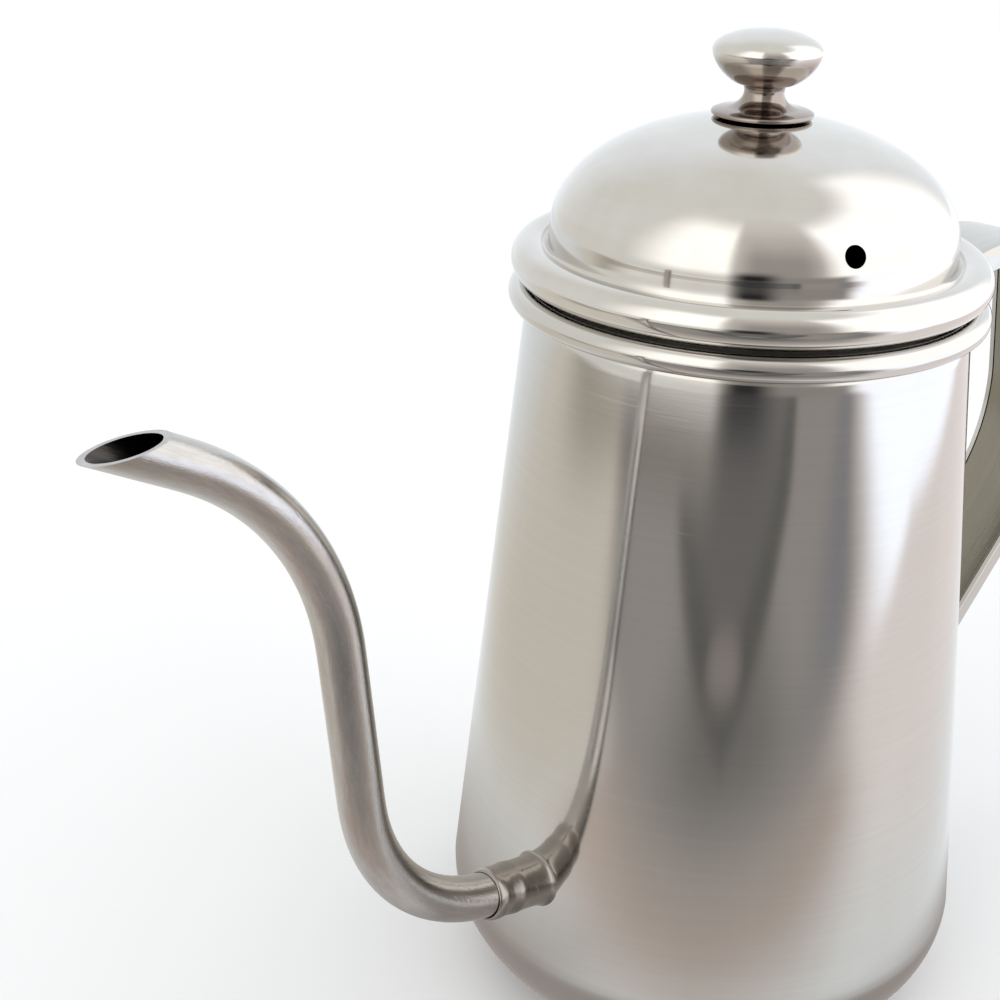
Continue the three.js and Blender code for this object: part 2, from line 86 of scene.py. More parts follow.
# ---- Curves ----
def arc(centre, radius, start, end, steps):
    """Points on a circular arc in the [radius, height] plane, angles in degrees."""
    turns = [math.radians(start + (end - start) * k / steps) for k in range(steps + 1)]
    return [(centre[0] + radius * math.cos(a), centre[1] + radius * math.sin(a)) for a in turns]


def smooth_line(points, steps):
    """A Catmull-Rom curve through the points."""
    padded = [points[0]] + list(points) + [points[-1]]
    line = []
    for i in range(1, len(padded) - 2):
        p = [Vector(q) for q in padded[i - 1:i + 3]]
        for k in range(steps):
            t = k / steps
            line.append(tuple(0.5 * (
                2 * p[1] + (p[2] - p[0]) * t
                + (2 * p[0] - 5 * p[1] + 4 * p[2] - p[3]) * t * t
                + (3 * p[1] - 3 * p[2] + p[3] - p[0]) * t ** 3)))
    return line + [tuple(points[-1])]


def straight(a, b, steps):
    """Points from a up to, and without, b."""
    return [tuple(Vector(a).lerp(Vector(b), k / steps)) for k in range(steps)]


class BentPath:
    """A line of straight runs and bends in the XZ plane, its heading eased where a bend begins."""

    STEP = 0.1                          # the path is laid down in steps this long, in millimetres

    def __init__(self, start, heading, side, legs, ease):
        raw = []
        angle = math.radians(heading)
        for run, radius, to in legs:
            end = math.radians(to) if radius else angle
            length = radius * abs(end - angle) if radius else run
            count = max(1, round(length / self.STEP))
            raw += [angle + (end - angle) * (k + 0.5) / count for k in range(count)]
            angle = end
        half = round(ease / 2 / self.STEP)
        padded = [raw[0]] * half + raw + [raw[-1]] * half
        total = sum(padded[:2 * half + 1])
        self.points, self.headings = [Vector((start[0], start[1]))], []
        for i in range(len(raw)):
            heading_now = total / (2 * half + 1)
            self.headings.append(heading_now)
            step = Vector((math.cos(heading_now), math.sin(heading_now))) * self.STEP
            self.points.append(self.points[-1] + step)
            if i + 2 * half + 1 < len(padded):
                total += padded[i + 2 * half + 1] - padded[i]
        self.side = side
        self.length = len(raw) * self.STEP

    def at(self, s, across, out):
        """The point at length s, across along Y and out along the path's left-hand normal."""
        i = min(max(int(s / self.STEP), 0), len(self.headings) - 1)
        h = self.headings[i]
        base = self.points[i] + Vector((math.cos(h), math.sin(h))) * (s - i * self.STEP)
        point = base + Vector((-math.sin(h), math.cos(h))) * out
        return Vector((self.side * point.x, across, point.y))


def solve(low, high, value):
    """The place between low and high where value(place) changes sign."""
    rising = value(high) > value(low)
    for _ in range(40):
        middle = (low + high) / 2
        if (value(middle) > 0) == rising:
            high = middle
        else:
            low = middle
    return (low + high) / 2


# ---- Meshes ----
def make_piece(name, verts, faces, sharp=SHARP, grain=None):
    """A mesh object from points in millimetres, smooth except across edges sharper than the limit.

    grain gives each point's place on the piece before it was bent, for a texture that follows the bend.
    """
    mesh = bpy.data.meshes.new(name)
    mesh.from_pydata([Vector(v) * MM for v in verts], [], faces)
    if grain is not None:
        layer = mesh.attributes.new("grain", "FLOAT_VECTOR", "POINT")
        for item, at in zip(layer.data, grain):
            item.vector = Vector(at) * MM
    bm = bmesh.new()
    bm.from_mesh(mesh)
    bmesh.ops.recalc_face_normals(bm, faces=bm.faces)
    bm.to_mesh(mesh)
    bm.free()
    mesh.shade_smooth()
    mesh.set_sharp_from_angle(angle=math.radians(sharp))
    piece = bpy.data.objects.new(name, mesh)
    bpy.context.scene.collection.objects.link(piece)
    return piece


def turned(name, profile, segments, sharp=SHARP, at=None):
    """A closed [radius, height] profile turned about Z. A profile may start and end on the axis."""
    verts, rings = [], []
    for r, z in profile:
        if r < 1e-6:
            rings.append([len(verts)] * segments)
            verts.append((0, 0, z))
            continue
        rings.append(list(range(len(verts), len(verts) + segments)))
        for k in range(segments):
            a = 2 * math.pi * k / segments
            verts.append((r * math.cos(a), r * math.sin(a), z))
    faces = []
    closed = profile[0][0] > 1e-6 or profile[-1][0] > 1e-6
    for i in range(len(rings) if closed else len(rings) - 1):
        low, high = rings[i], rings[(i + 1) % len(rings)]
        for k in range(segments):
            n = (k + 1) % segments
            corners = [low[k], low[n], high[n], high[k]]
            face = [c for j, c in enumerate(corners) if c != corners[j - 1]]
            if len(face) > 2:
                faces.append(face)
    if at is not None:
        verts = [at @ Vector(v) for v in verts]
    return make_piece(name, verts, faces, sharp=sharp)


def bored(piece, cutter, sharp=SHARP):
    """Cuts the cutter out of the piece and throws the cutter away."""
    cut = piece.modifiers.new("cut", "BOOLEAN")
    cut.object, cut.operation, cut.solver = cutter, "DIFFERENCE", "EXACT"
    graph = bpy.context.evaluated_depsgraph_get()
    mesh = bpy.data.meshes.new_from_object(piece.evaluated_get(graph))
    piece.modifiers.clear()
    old, piece.data = piece.data, mesh
    bpy.data.meshes.remove(old)
    bpy.data.meshes.remove(cutter.data)
    mesh.shade_smooth()
    mesh.set_sharp_from_angle(angle=math.radians(sharp))
    return piece


def rod(radius, length, centre, direction):
    """A plain rod to cut with."""
    turn = Vector((0, 0, 1)).rotation_difference(Vector(direction)).to_matrix().to_4x4()
    profile = [(0, -length / 2), (radius, -length / 2), (radius, length / 2), (0, length / 2)]
    return turned("cutter", profile, ROD_SIDES, at=Matrix.Translation(Vector(centre)) @ turn)


def block(at):
    """A unit cube to cut with, moved and scaled by a matrix in millimetres."""
    mesh = bpy.data.meshes.new("cutter")
    bm = bmesh.new()
    bmesh.ops.create_cube(bm, size=1.0, matrix=Matrix.Scale(MM, 4) @ at)
    bm.to_mesh(mesh)
    bm.free()
    cutter = bpy.data.objects.new("cutter", mesh)
    bpy.context.scene.collection.objects.link(cutter)
    return cutter


def grid_faces(rows, columns, wrap_rows=False):
    """Faces over rings of points, each ring joined to the next, and the last to the first if asked."""
    faces = []
    for i in range(rows if wrap_rows else rows - 1):
        for j in range(columns):
            a, b = i * columns + j, i * columns + (j + 1) % columns
            c, d = ((i + 1) % rows) * columns + (j + 1) % columns, ((i + 1) % rows) * columns + j
            faces.append([a, b, c, d])
    return faces


def place(piece, body, slot, material, *nodes, inside=None):
    """Gives a piece its finish, a body to ride on, and the solids it stands for.

    inside is the finish of the faces with material index 1.
    """
    piece.data.materials.append(material)
    if inside:
        piece.data.materials.append(inside)
    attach(piece, body)
    if nodes:
        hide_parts(*nodes)
    return piece


# ---- Materials ----
class Nodes:
    """A material's node tree with short calls to add and join nodes."""

    def __init__(self, name):
        self.material = bpy.data.materials.new(name)
        self.material.use_nodes = True
        self.tree = self.material.node_tree
        self.shader = self.tree.nodes["Principled BSDF"]

    def add(self, kind, **settings):
        node = self.tree.nodes.new(kind)
        for key, value in settings.items():
            if hasattr(node, key):
                setattr(node, key, value)
            else:
                node.inputs[key.replace("_", " ")].default_value = value
        return node

    def join(self, source, target):
        self.tree.links.new(source, target)

    def noise(self, where, frequency, detail, roughness):
        """Noise of so many cycles per metre along each axis."""
        stretch = self.add("ShaderNodeMapping")
        stretch.inputs["Scale"].default_value = frequency
        self.join(where, stretch.inputs["Vector"])
        noise = self.add("ShaderNodeTexNoise", Scale=1.0, Detail=detail, Roughness=roughness)
        self.join(stretch.outputs[0], noise.inputs["Vector"])
        return noise.outputs["Fac"]

    def total(self, *sources):
        """The sum of several values."""
        total = sources[0]
        for source in sources[1:]:
            node = self.add("ShaderNodeMath", operation="ADD")
            self.join(total, node.inputs[0])
            self.join(source, node.inputs[1])
            total = node.outputs[0]
        return total

    def mix(self, share, first, second):
        """The first colour where share is 0, the second where it is 1."""
        node = self.add("ShaderNodeMix", data_type="RGBA")
        self.join(share, node.inputs[0])
        for color, target in ((first, node.inputs[6]), (second, node.inputs[7])):
            if isinstance(color, (list, tuple)):
                target.default_value = (*color, 1)
            else:
                self.join(color, target)
        return node.outputs[2]

    def ramp(self, source, stops):
        """Maps (from low, from high) onto (to low, to high), held at both ends."""
        node = self.add("ShaderNodeMapRange", clamp=True)
        (node.inputs[1].default_value, node.inputs[2].default_value,
         node.inputs[3].default_value, node.inputs[4].default_value) = stops
        self.join(source, node.inputs[0])
        return node.outputs[0]


def steel(name, color, roughness, grain, depth, bent=False, ring=0.0, mottle=0.07, below=None):
    """Stainless steel: fine grain, faint smudges from handling, and sparse hairline marks.

    grain is the grain's cycles per metre along each axis, and depth its bump. A bent piece keeps its
    texture in the place each point had before it was bent, and ring is how far the grain runs round the
    axis. mottle is how much darker its dull streaks are, and below is (colour, low, high) for painted
    shade: the colour is painted darker under the height low, in millimetres, and is the piece's own
    over the height high.
    """
    m = Nodes(name)
    shader = m.shader
    shader.inputs["Metallic"].default_value = 1.0
    shader.inputs["Anisotropic"].default_value = ring
    shader.inputs["Anisotropic Rotation"].default_value = 0.25
    if bent:
        where = m.add("ShaderNodeAttribute", attribute_name="grain").outputs["Vector"]
    else:
        where = m.add("ShaderNodeTexCoord").outputs["Object"]
    smudges = m.noise(where, (55, 55, 55), 4.0, 0.6)
    clouds = m.noise(where, (140, 140, 30), 2.0, 0.5)
    brushed = m.noise(where, grain, 3.0, 0.7)
    marks = m.noise(where, [f * 0.35 for f in grain], 1.0, 0.4)
    hairlines = (0.68, 0.74)            # the noise's peaks, so that few marks show
    streaks = m.noise(where, [f * 0.22 for f in grain], 4.0, 0.65)
    dull = m.total(m.ramp(clouds, (0.3, 0.7, 0.5, 0)), m.ramp(streaks, (0.4, 0.66, 0.5, 0)))
    clean = [c * 1.03 for c in color]
    warm_dull = [c * (1 - mottle - 0.01 * k) for k, c in enumerate(color)]
    tint = m.mix(dull, clean, warm_dull)
    # below: painted shade, a darker colour under a height, where the piece lies in shade
    if below:
        dark, low, high = below
        height = m.add("ShaderNodeSeparateXYZ")
        m.join(where, height.inputs[0])
        tint = m.mix(m.ramp(height.outputs["Z"], (low * MM, high * MM, 1, 0)), tint, dark)
    m.join(tint, shader.inputs["Base Color"])
    rough = m.total(m.ramp(smudges, (0.35, 0.75, roughness * 0.88, roughness * 1.18)),
                    m.ramp(brushed, (0.3, 0.7, -0.12 * roughness, 0.12 * roughness)),
                    m.ramp(marks, (*hairlines, 0, 0.35 * roughness)))
    m.join(rough, shader.inputs["Roughness"])
    if ring:
        tangent = m.add("ShaderNodeTangent", direction_type="RADIAL", axis="Z")
        m.join(tangent.outputs[0], shader.inputs["Tangent"])
    bump = m.add("ShaderNodeBump", Strength=depth, Distance=0.0002)
    m.join(m.total(brushed, m.ramp(marks, (*hairlines, 0, -0.6))), bump.inputs["Height"])
    m.join(bump.outputs[0], shader.inputs["Normal"])
    return m.material


BODY_STEEL = steel("body_satin", (0.60, 0.585, 0.56), 0.1, (90, 90, 4200), 0.008, ring=0.3, mottle=0.012)
SPOUT_STEEL = steel("spout_satin", (0.54, 0.52, 0.50), 0.12, (5200, 5200, 1100), 0.14, bent=True,
                    mottle=0.18)
# The spout's bore: steel painted nearly black, as painted shade inside the tube.
BORE_STEEL_PAINTED_SHADE = steel("spout_bore_painted_shade", (0.085, 0.075, 0.07), 0.3, (1500, 1500, 300), 0.3, bent=True, mottle=0.5)
# The collar: the spout's steel painted darker, as painted shade at the joint with the body.
COLLAR_STEEL_PAINTED_SHADE = steel("collar_satin_painted_shade", (0.36, 0.33, 0.305), 0.22, (1400, 1400, 1400), 0.14)
HANDLE_STEEL = steel("handle_satin", (0.56, 0.545, 0.52), 0.22, (2400, 2400, 80), 0.06, bent=True)
# The strip inside the handle: the handle's steel painted much darker, as painted shade.
HANDLE_INSIDE_PAINTED_SHADE = steel("handle_inside_satin_painted_shade", (0.27, 0.25, 0.21), 0.3, (2400, 2400, 80), 0.1, bent=True)
SADDLE_STEEL = steel("saddle_satin", (0.56, 0.545, 0.52), 0.22, (200, 200, 2400), 0.06)
MIRROR_STEEL = steel("lid_mirror", (0.66, 0.64, 0.61), 0.08, (60, 60, 900), 0.006)
# The knob's neck and foot under the crown get painted shade: a darker colour below the crown's rim.
KNOB_STEEL_PAINTED_SHADE = steel("knob_mirror_painted_shade", (0.66, 0.64, 0.61), 0.1, (300, 300, 900), 0.01,
                   below=((0.33, 0.285, 0.255), 169.0, 170.4))
# Unpolished steel of the hidden parts, its own colour painted darker as painted shade for the skirt in the
# gap under the lid's flange.
RAW_STEEL_WITH_PAINTED_SHADE = steel("inner_mill_painted_shade", (0.38, 0.37, 0.36), 0.36, (120, 120, 1800), 0.06)


# ---- Body ----
def wall_radius(z):
    """The cone's outer radius at a height."""
    return BODY_FOOT_R - (BODY_FOOT_R - BODY_TOP_R) * (z - BODY_CORNER_R) / (RIM_Z - BODY_CORNER_R)


def body_shell():
    """The cone, its rolled rim, and the pressed base with a shallow recess, as the one welded body."""
    corner = (BODY_FOOT_R - BODY_CORNER_R, BODY_CORNER_R)
    rim = (RIM_OUT_R - RIM_ROLL_R, RIM_Z)
    top = RIM_Z - RIM_ROLL_R - 1
    out_foot, out_top = (BODY_FOOT_R, BODY_CORNER_R), (wall_radius(top), top)
    in_foot, in_top = (BODY_FOOT_R - SHEET, BODY_CORNER_R), (wall_radius(top) - SHEET, top)
    under = [(0, 0.45), (24.0, 0.45), (25.4, 0.4), (26.6, 0.08), (27.8, 0.0)]
    roll_end, roll_middle = math.radians(-110), RIM_ROLL_R - SHEET / 2
    profile = smooth_line(under, 5)
    profile += arc(corner, BODY_CORNER_R, -90, 0, 28)[:-1]
    profile += straight(out_foot, out_top, 60)
    profile += smooth_line([out_top, (37.16, 128.6), (rim[0] - RIM_ROLL_R + SHEET, RIM_Z)], 6)[:-1]
    profile += arc(rim, RIM_ROLL_R - SHEET, 180, -100, 22)
    profile += [(rim[0] + roll_middle * math.cos(roll_end), rim[1] + roll_middle * math.sin(roll_end))]
    profile += arc(rim, RIM_ROLL_R, -100, 180, 40)
    profile += smooth_line([(rim[0] - RIM_ROLL_R, RIM_Z), (36.36, 128.6), in_top], 6)[1:-1]
    profile += straight(in_top, in_foot, 60)
    profile += arc(corner, BODY_CORNER_R - SHEET, 0, -90, 24)
    profile += smooth_line([(r, z + SHEET) for r, z in reversed(under)], 5)
    shell = turned("kettle_body", profile, BODY_SIDES)
    rise = math.radians(SPOUT_RISE)
    axis = (math.cos(rise), 0, math.sin(rise))
    play, length = 0.3, 12
    inlet = rod(SPOUT_ROOT_D / 2 + play, length, (SPOUT_ROOT[0], 0, SPOUT_ROOT[1]), axis)
    return bored(shell, inlet)


# ---- Spout ----
def spout_tube():
    """The tube, its wall drawn thinner towards the tip, with rings that turn into the cut at the tip."""
    rise = math.radians(SPOUT_RISE)
    tail = (SPOUT_ROOT[0] - SPOUT_TAIL * math.cos(rise), SPOUT_ROOT[1] - SPOUT_TAIL * math.sin(rise))
    path = BentPath(tail, SPOUT_RISE, 1, SPOUT_LEGS, SPOUT_EASE)
    full, sides = path.length, SPOUT_SIDES
    turning = 26.0                      # how far from the tip the rings begin to turn into the cut

    def radius(s, wall):
        share = SPOUT_TIP_D / SPOUT_ROOT_D
        drawn = 1 - (1 - share) * (1 - (1 - s / full) ** SPOUT_TAPER)
        return (SPOUT_ROOT_D / 2 - wall) * drawn

    def point(s, turn, wall):
        r = radius(s, wall)
        return path.at(s, r * math.sin(turn), r * math.cos(turn))

    def over_cut(at):
        """The height over the tip's cut, which is level but for a slight rise towards the body."""
        return at.z - SPOUT_CUT_Z - (SPOUT_TIP_X - at.x) * SPOUT_CUT_SLOPE

    verts, grain, skins = [], [], []
    for wall in (0.0, SPOUT_WALL):
        size = SPOUT_ROOT_D / 2 - wall
        ends = []
        for j in range(sides):
            turn = 2 * math.pi * j / sides
            ends.append(solve(full * 0.6, full, lambda s: over_cut(point(s, turn, wall))))
        middle = sum(ends) / sides
        rows = []
        for k in range(SPOUT_STEPS + 1):
            s = middle * k / SPOUT_STEPS
            ease = min(max((s - (middle - turning)) / turning, 0), 1) ** 2
            row = []
            for j in range(sides):
                turn, along = 2 * math.pi * j / sides, s + (ends[j] - middle) * ease
                unbent = (size * math.sin(turn), size * math.cos(turn), along)
                row.append((point(along, turn, wall), unbent))
            rows.append(row)
        skins.append(rows)
    outer, inner = skins
    rows = outer + list(reversed(inner))
    for row in rows:
        for at, unbent in row:
            verts.append(at)
            grain.append(unbent)
    faces = grid_faces(len(rows), sides, wrap_rows=True)
    tube = make_piece("kettle_spout", verts, faces, sharp=40, grain=grain)
    bore_starts = len(outer) * sides
    for face in tube.data.polygons:
        face.material_index = int(min(face.vertices) >= bore_starts)
    return tube


def spout_collar():
    """The swollen sleeve over the joint, its end shaped to the cone."""
    bore, off_wall = SPOUT_ROOT_D / 2 + COLLAR_GAP, 0.03
    rise = math.radians(SPOUT_RISE)
    axis = Vector((math.cos(rise), 0, math.sin(rise)))
    up = Vector((-math.sin(rise), 0, math.cos(rise)))
    root = Vector((SPOUT_ROOT[0], 0, SPOUT_ROOT[1]))
    line = smooth_line([(t, bore + w) for t, w in COLLAR_SWELL], 5)
    line += [(COLLAR_LENGTH, bore), (6.0, bore), (0.4, bore)]
    sides = COLLAR_SIDES
    verts = []
    for t, r in line:
        for j in range(sides):
            turn = 2 * math.pi * j / sides
            off = Vector((0, 1, 0)) * (r * math.sin(turn)) + up * (r * math.cos(turn))

            def gap(s):
                p = root + axis * s + off
                return math.hypot(p.x, p.y) - wall_radius(p.z) - off_wall

            wall = solve(-8, 8, gap)
            ease = max(0.0, 1 - t / COLLAR_BLEND) ** 1.5
            verts.append(root + axis * (t + wall * ease) + off)
    return make_piece("kettle_spout_collar", verts, grid_faces(len(line), sides, wrap_rows=True), sharp=45)


# ---- Handle ----
def strap(name, section):
    """Sweeps a closed [across, out] section round the handle, both ends cut to the saddles."""
    path = BentPath(HANDLE_START, HANDLE_RISE, -1, HANDLE_LEGS, HANDLE_EASE)
    full, steps = path.length, STRAP_STEPS
    starts, ends = [], []
    for across, out in section:
        def clear(s):
            p = path.at(s, across, out)
            return math.hypot(p.x, p.y) - wall_radius(p.z) - HANDLE_OFF_WALL
        starts.append(solve(0, full * 0.3, clear))
        ends.append(solve(full * 0.8, full, clear))
    first, last, reach = max(starts), min(ends), 10.0
    verts, grain = [], []
    for k in range(steps + 1):
        s = first + (last - first) * k / steps
        near = max(0.0, 1 - (s - first) / reach) ** 2
        far = max(0.0, 1 - (last - s) / reach) ** 2
        for j, (across, out) in enumerate(section):
            here = s + (starts[j] - first) * near + (ends[j] - last) * far
            verts.append(path.at(here, across, out))
            grain.append((across, out, here))
    count = len(section)
    faces = grid_faces(steps + 1, count)
    faces.append(list(range(count)))
    faces.append(list(range(steps * count, (steps + 1) * count)))
    return make_piece(name, verts, faces, sharp=40, grain=grain)


def handle_outer():
    """The channel: a back with rounded edges and two flanks, open on the finger side."""
    half, round_r, deep, bevel = HANDLE_WIDTH / 2, HANDLE_EDGE_R, HANDLE_DEPTH, 0.15
    section = [(-half + bevel, -deep), (-half, -deep + bevel)]
    section += arc((-half + round_r, -round_r), round_r, 180, 90, 8)
    section += [(x, 0.0) for x in (-half / 2, 0, half / 2)]
    section += arc((half - round_r, -round_r), round_r, 90, 0, 8)
    section += [(half, -deep + bevel), (half - bevel, -deep), (half - HANDLE_SHEET, -deep)]
    inner = round_r - HANDLE_SHEET
    section += arc((half - round_r, -round_r), inner, 0, 90, 3)
    section += arc((-half + round_r, -round_r), inner, 90, 180, 3)
    section += [(-half + HANDLE_SHEET, -deep)]
    return strap("kettle_handle", section)


def handle_inner():
    """The flat strip that closes the channel."""
    play, edge = 0.12, 0.3
    half, deep = HANDLE_WIDTH / 2 - HANDLE_SHEET - play, HANDLE_DEPTH
    section = arc((-half + edge, edge - deep), edge, 180, 270, 3)
    section += arc((half - edge, edge - deep), edge, 270, 360, 3)
    section += [(half, HANDLE_SHEET - deep), (-half, HANDLE_SHEET - deep)]
    return strap("kettle_handle_inside", section)


def saddle(name, low, high):
    """A rounded plate that hugs the wall, its edges softened."""
    width, tall, off_wall = SADDLE_WIDTH / 2, (high - low) / 2, 0.25
    top = SADDLE_THICK + 0.1
    rows = []
    for inset, lift in ((0.25, 0.06), (0, 0.2), (0, 0.8), (0.09, 1.0), (0.3, top)):
        r = SADDLE_CORNER_R - inset
        x, z = width - inset - r, tall - inset - r
        ring = []
        for cx, cz, start in ((x, z, 0), (-x, z, 90), (-x, -z, 180), (x, -z, 270)):
            ring += arc((cx, cz), r, start, start + 90, 8)
        rows.append([(y, z, lift) for y, z in ring])
    for shrink in (0.8, 0.55, 0.3, 0.1):
        rows.append([(y * shrink, z * shrink, top) for y, z, _ in rows[4]])
    verts = []
    for row in rows:
        for y, z, lift in row:
            height = (low + high) / 2 + z
            r = wall_radius(height) + off_wall + lift
            verts.append((-math.sqrt(r * r - y * y), y, height))
    count = len(rows[0])
    faces = grid_faces(len(rows), count)
    faces.append(list(range(count)))
    faces.append(list(range((len(rows) - 1) * count, len(rows) * count)))
    return make_piece(name, verts, faces, sharp=50)


# ---- Lid ----
def dome_line(inset, steps):
    """The dome's outline from the stud hole down to its foot, set in by so much."""
    radius = DOME_R - inset
    steep = math.acos(STUD_HOLE_R / radius)
    turns = [steep * (1 - k / steps) for k in range(steps + 1)]
    return [(radius * math.cos(t), DOME_FOOT_Z + (DOME_RISE - inset) * math.sin(t)) for t in turns]


def lid_shell():
    """Dome, groove and rolled flange in one sheet, with the vent bored square to the dome."""
    centre = (FLANGE_OUT_R - FLANGE_R, FLANGE_Z)
    outer = dome_line(0, 64)
    roll = arc(centre, FLANGE_R, 120, -95, 44)
    skirt = smooth_line([outer[-1], (33.95, 139.6), (34.2, 138.6), VALLEY, roll[0]], 5)[1:-1]
    inner_roll = arc(centre, FLANGE_R - SHEET, -95, 120, 30)
    inner = dome_line(SHEET, 48)
    inner_skirt = smooth_line([inner_roll[-1], (34.75, 137.35), (33.95, 137.75), (33.2, 139.2),
                               inner[-1]], 5)[1:-1]
    profile = outer + skirt + roll + inner_roll + inner_skirt + inner[::-1]
    shell = turned("kettle_lid", profile, LID_SIDES, sharp=38)
    turn = math.radians(VENT_TURN)
    vent_r = DOME_R * math.sqrt(1 - (VENT_RISE / DOME_RISE) ** 2)
    outward = Vector((math.cos(turn), math.sin(turn), 0))
    vent = outward * vent_r + Vector((0, 0, DOME_FOOT_Z + VENT_RISE))
    normal = outward * (vent_r / DOME_R ** 2) + Vector((0, 0, VENT_RISE / DOME_RISE ** 2))
    return bored(shell, rod(VENT_D / 2, 6, vent, normal.normalized()), sharp=38)


def lid_collar():
    """The skirt that plugs into the mouth, its lower edge curled and its top turned out."""
    out, wide, bend = LID_COLLAR_R, LID_COLLAR_FLANGE_R, 0.6
    low, flange = LID_COLLAR_Z
    profile = smooth_line([(out - SHEET, low + 0.3), (out - SHEET + 0.1, low + 0.05), (out - 0.4, low),
                           (out - 0.1, low + 0.35), (out, low + 0.9)], 4)
    profile += straight((out, low + 1.2), (out, flange - bend), 24)
    profile += arc((out + bend, flange - bend), bend, 180, 90, 5)
    profile += [(wide, flange), (wide, flange + SHEET)]
    profile += arc((out + bend, flange - bend), bend + SHEET, 90, 180, 7)
    profile += straight((out - SHEET, flange - bend), (out - SHEET, low + 0.6), 24)[1:]
    return turned("kettle_lid_skirt", profile, LID_SKIRT_SIDES, sharp=38)


def knob():
    """The mushroom knob: crown, neck and flared foot, bored from below for the screw."""
    seat = DOME_FOOT_Z + DOME_RISE + 0.12
    foot, top = KNOB_FOOT_Z, KNOB_Z
    side = [(8.05, foot), (8.35, foot + 0.3), (8.2, foot + 0.75), (7.2, foot + 1.1), (5.6, foot + 1.4),
            (4.5, foot + 1.85), (3.75, foot + 2.5), (3.35, foot + 3.3), (3.3, foot + 4.2),
            (3.75, foot + 5.0), (4.9, top - 5.0), (6.3, top - 4.1), (7.6, top - 2.8), (8.5, top - 1.3),
            (KNOB_R, top)]
    crown = [(KNOB_R * math.cos(t), top + KNOB_CROWN * math.sin(t)) for t in
             [math.pi / 2 * k / 24 for k in range(1, 25)]]
    profile = [(0, KNOB_BORE_Z), (STUD_HOLE_R, KNOB_BORE_Z), (STUD_HOLE_R, seat), (7.6, foot + 0.02)]
    profile += smooth_line(side, 5) + crown[:-1] + [(0, top + KNOB_CROWN)]
    return turned("kettle_knob", profile, KNOB_SIDES, sharp=40)


def knob_screw():
    """A domed head with a cross slot, and a thread drawn as rings."""
    low, high = SCREW_HEAD_Z
    profile = smooth_line([(0, low), (1.6, low + 0.05), (2.7, low + 0.35), (3.4, low + 0.9),
                           (SCREW_HEAD_R, low + 1.5)], 5)
    profile += [(SCREW_HEAD_R, high - 0.2), (SCREW_HEAD_R - 0.15, high), (THREAD_R, high)]
    z = high + 0.4
    while z < THREAD_TOP_Z - 0.8:
        profile += [(THREAD_R, z), (THREAD_ROOT_R, z + THREAD_PITCH / 2)]
        z += THREAD_PITCH
    profile += [(1.2, THREAD_TOP_Z), (0, THREAD_TOP_Z)]
    screw = turned("kettle_knob_screw", profile, SCREW_SIDES)
    slot = Matrix.Diagonal((4.6, 0.9, 2.2, 1))
    for turn in (0, math.pi / 2):
        bored(screw, block(Matrix.Translation((0, 0, low)) @ Matrix.Rotation(turn, 4, "Z") @ slot))
    return screw


def washer(name, out_r, low, high):
    """A flat ring with its edges broken."""
    edge, in_r = 0.12, STUD_HOLE_R
    profile = [(in_r, low + edge), (in_r + edge, low), (out_r - edge, low), (out_r, low + edge),
               (out_r, high - edge), (out_r - edge, high), (in_r + edge, high), (in_r, high - edge)]
    return turned(name, profile, SCREW_SIDES)


def spring_washer():
    """A ring with a slanting slit through one side."""
    low, high = SPRING_WASHER_Z
    ring = washer("kettle_spring_washer", SPRING_WASHER_R, low, high)
    middle = Matrix.Translation((SPRING_WASHER_R, 0, (low + high) / 2))
    slit = Matrix.Rotation(0.5, 4, "X") @ Matrix.Diagonal((3.6, 0.8, 3, 1))
    return bored(ring, block(Matrix.Rotation(math.radians(35), 4, "Z") @ middle @ slit))


place(body_shell(), "body", "body_steel", BODY_STEEL, "body_shell", "base_pan")
place(spout_tube(), "body", "spout_steel", SPOUT_STEEL, "spout_tube", inside=BORE_STEEL_PAINTED_SHADE)
place(spout_collar(), "body", "spout_steel", COLLAR_STEEL_PAINTED_SHADE, "spout_collar")
place(handle_outer(), "body", "handle_steel", HANDLE_STEEL, "handle_outer")
place(handle_inner(), "body", "handle_steel", HANDLE_INSIDE_PAINTED_SHADE, "handle_inner")
place(saddle("kettle_upper_saddle", *UPPER_SADDLE_Z), "body", "handle_steel", SADDLE_STEEL,
      "handle_upper_saddle")
place(saddle("kettle_lower_saddle", *LOWER_SADDLE_Z), "body", "handle_steel", SADDLE_STEEL,
      "handle_lower_saddle")
place(lid_shell(), "lid", "polished_steel", MIRROR_STEEL, "lid_shell")
place(lid_collar(), "lid", "raw_steel", RAW_STEEL_WITH_PAINTED_SHADE, "lid_collar")
place(knob(), "lid", "polished_steel", KNOB_STEEL_PAINTED_SHADE, "knob")
place(knob_screw(), "lid", "raw_steel", RAW_STEEL_WITH_PAINTED_SHADE, "knob_screw")
place(washer("kettle_flat_washer", FLAT_WASHER_R, *FLAT_WASHER_Z), "lid", "raw_steel", RAW_STEEL_WITH_PAINTED_SHADE,
      "flat_washer")
place(spring_washer(), "lid", "raw_steel", RAW_STEEL_WITH_PAINTED_SHADE, "spring_washer")


# ---- Studio ----
CAMERA_TURN = math.radians(37.0)        # the camera's side of the kettle, round from +X
CAMERA_AT = (0.22461, 0.169256, 0.213242)
CAMERA_RIGHT = (-0.71898788, 0.69453878, 0.02592904)
CAMERA_UP = (-0.26280734, -0.30621687, 0.91496641)
CAMERA_FORWARD = (-0.64341956, -0.65103542, -0.40269611)
CAMERA_LENS, SENSOR_WIDTH = 61.2, 36.0
FLOOR_HALF, FLOOR_WHITE, BACKGROUND_WHITE = 6.0, (0.865, 0.875, 0.895), (0.99, 0.995, 1.0)
TABLE_REACH, TABLE_SIDES = 0.92, 96
# The lamp: its width and power, its distance, and where it hangs from the camera's side and the floor.
LAMP_WIDTH, LAMP_WATTS, LAMP_AWAY = 0.9, 1.15, 1.5
LAMP_TURN, LAMP_RISE = CAMERA_TURN - math.radians(120), math.radians(50)


